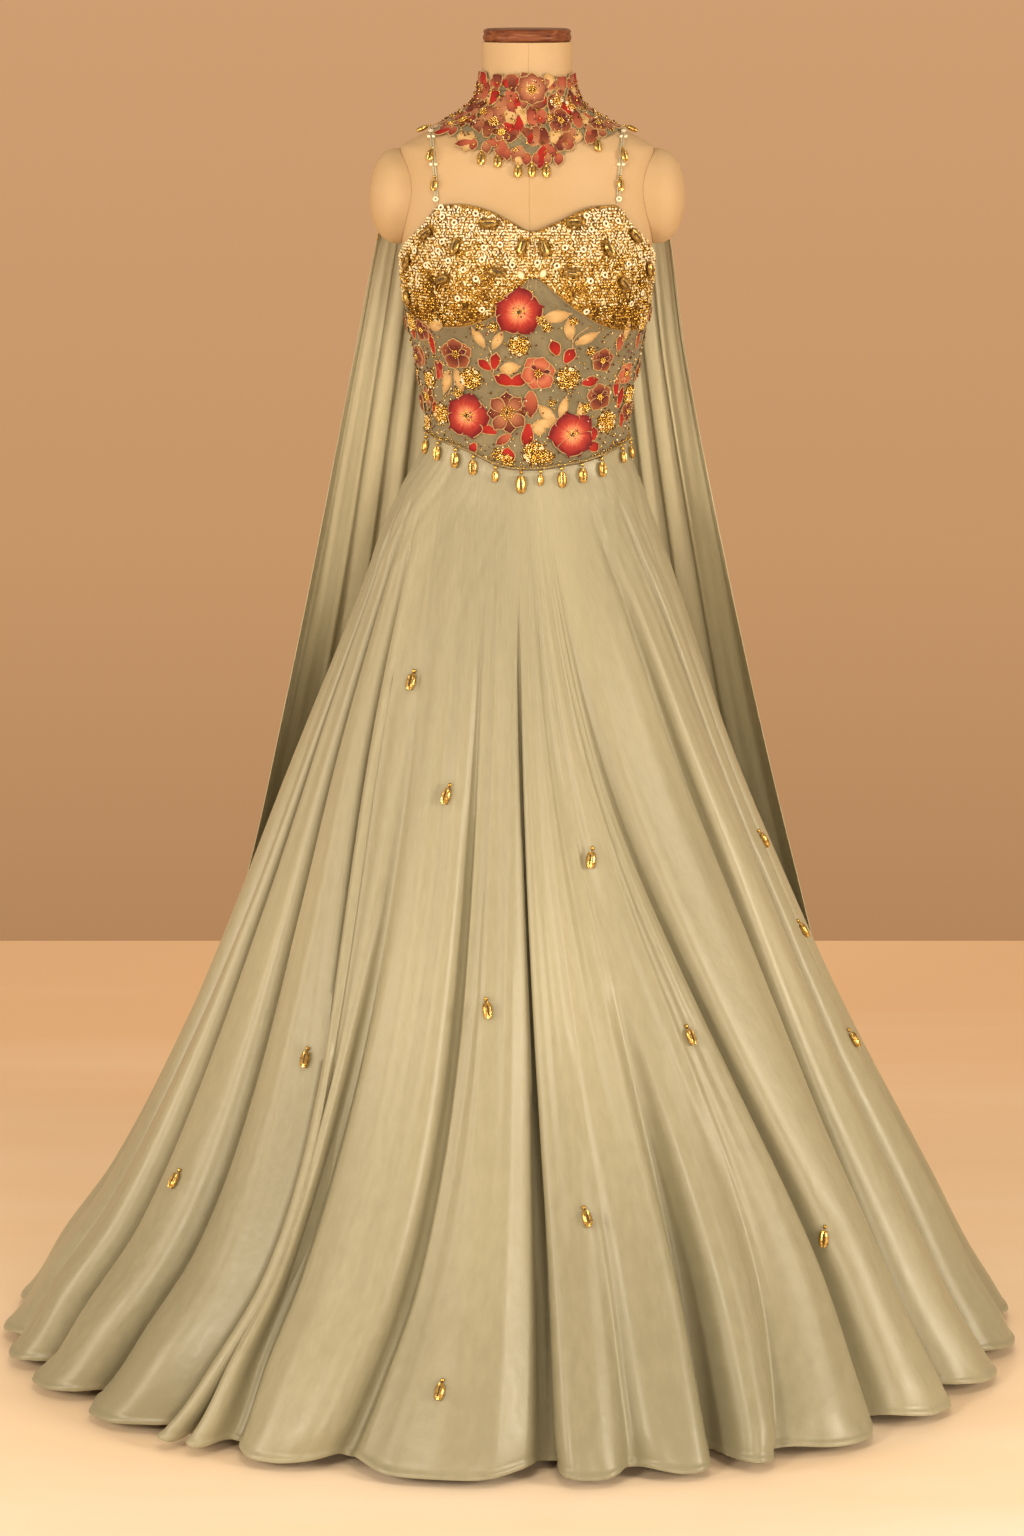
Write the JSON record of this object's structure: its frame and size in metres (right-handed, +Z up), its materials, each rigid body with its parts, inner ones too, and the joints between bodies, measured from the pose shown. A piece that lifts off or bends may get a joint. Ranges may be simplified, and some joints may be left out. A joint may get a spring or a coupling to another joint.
{
  "type": "cape gown on dress form",
  "caption": "Floor-length fluted gown with a beaded bodice, a collar and a long cape, worn by a limbless dress form on a round stand.",
  "frame": {"origin": "on the floor under the dress form's axis, at the middle of the base's underside", "axes": "+Z up; the front of the gown faces -Y; +X is to the right of a viewer who faces the front"},
  "size_m": [1.3275, 1.299, 1.697],
  "materials": {
    "canvas": "plain linen canvas",
    "satin": "sage satin with a soft sheen",
    "beading": "cloth covered with gold beads and sequins",
    "embroidery": "sage cloth with raised embroidery",
    "petals": "padded embroidered petals",
    "gold": "polished gold shells and beads",
    "walnut": "glossy turned walnut",
    "steel": "dark painted steel"
  },
  "bodies": {
    "root": {"bodice_back_left": "satin", "bodice_back_right": "satin", "bodice_cup_left": "beading", "bodice_cup_right": "beading", "bodice_flower_1": "petals", "bodice_flower_2": "petals", "bodice_flower_3": "petals", "bodice_flower_4": "petals", "bodice_flower_5": "petals", "bodice_flower_6": "petals", "bodice_front": "embroidery", "bodice_hem_trim": "gold", "bodice_side_left": "embroidery", "bodice_side_right": "embroidery", "cape_left": "satin", "cape_right": "satin", "collar_back": "satin", "collar_front": "embroidery", "collar_shell_1": "gold", "collar_shell_2": "gold", "collar_shell_3": "gold", "collar_shell_4": "gold", "collar_shell_5": "gold", "collar_shell_6": "gold", "form_neck_cap": "walnut", "form_shoulder_left": "canvas", "form_shoulder_right": "canvas", "form_torso": "canvas", "skirt_back_left": "satin", "skirt_back_right": "satin", "skirt_front": "satin", "skirt_shell_01": "gold", "skirt_shell_02": "gold", "skirt_shell_03": "gold", "skirt_shell_04": "gold", "skirt_shell_05": "gold", "skirt_shell_06": "gold", "skirt_shell_07": "gold", "skirt_shell_08": "gold", "skirt_shell_09": "gold", "skirt_shell_10": "gold", "skirt_shell_11": "gold", "skirt_shell_12": "gold", "skirt_shell_13": "gold", "skirt_side_left": "satin", "skirt_side_right": "satin", "stand_base": "steel", "stand_pole": "steel", "strap_left": "satin", "strap_right": "satin", "strap_shell_left_1": "gold", "strap_shell_left_2": "gold", "strap_shell_right_1": "gold", "strap_shell_right_2": "gold"}
  },
  "joints": []
}
